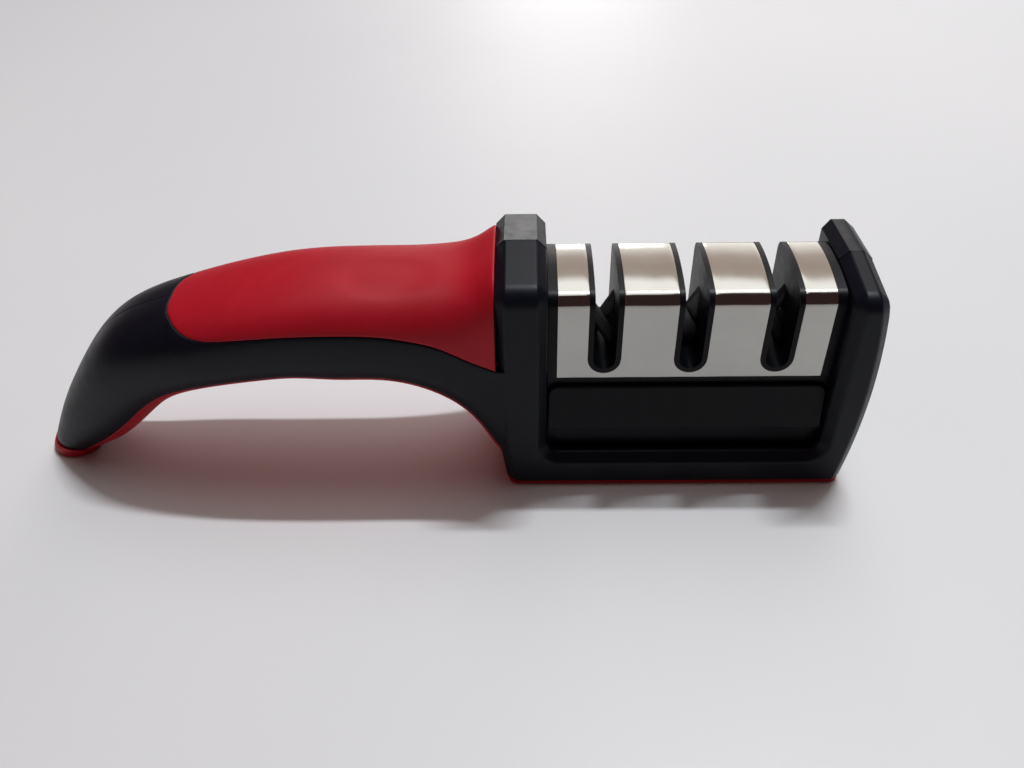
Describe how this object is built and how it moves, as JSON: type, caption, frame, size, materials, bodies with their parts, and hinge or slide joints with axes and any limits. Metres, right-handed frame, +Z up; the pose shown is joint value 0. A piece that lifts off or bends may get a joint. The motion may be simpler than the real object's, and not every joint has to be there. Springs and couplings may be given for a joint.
{
  "type": "pull-through knife sharpener",
  "caption": "Hand-held pull-through knife sharpener: arched soft-grip handle, black U-shaped head frame and slotted steel cover over crossed sharpening elements.",
  "frame": {"origin": "on the supporting surface, under the middle of the object's box", "axes": "+X from the handle's foot to the head, +Z up, knives are drawn along Y"},
  "size_m": [0.205, 0.0352, 0.0609],
  "materials": {
    "body_black": "fine satin moulded ABS with chamfered edges",
    "soft_red": "matt soft-touch elastomer, fine grain",
    "core_black": "smooth black plastic insert",
    "cover_steel": "polished stainless sheet, fine lines along its length",
    "diamond_coat": "gritty electroplated coat",
    "carbide": "ground tungsten carbide",
    "ceramic_rod": "unglazed fine ceramic",
    "screw_steel": "zinc-plated pan-head screw"
  },
  "bodies": {
    "root": {"front_body_shell": "body_black", "rear_body_shell": "body_black", "soft_grip_skin": "soft_red", "soft_underside_strip": "soft_red", "head_base_pad": "soft_red", "front_core_half": "core_black", "rear_core_half": "core_black", "front_apron_plate": "core_black", "rear_apron_plate": "core_black", "core_base_plate": "core_black", "steel_slot_cover": "cover_steel", "coarse_diamond_front_rod": "diamond_coat", "coarse_diamond_rear_rod": "diamond_coat", "medium_carbide_front_blade": "carbide", "medium_carbide_rear_blade": "carbide", "fine_ceramic_front_rod": "ceramic_rod", "fine_ceramic_rear_rod": "ceramic_rod", "core_plate_screws": "screw_steel", "handle_shell_screws": "screw_steel", "head_shell_screws": "screw_steel"}
  },
  "joints": []
}
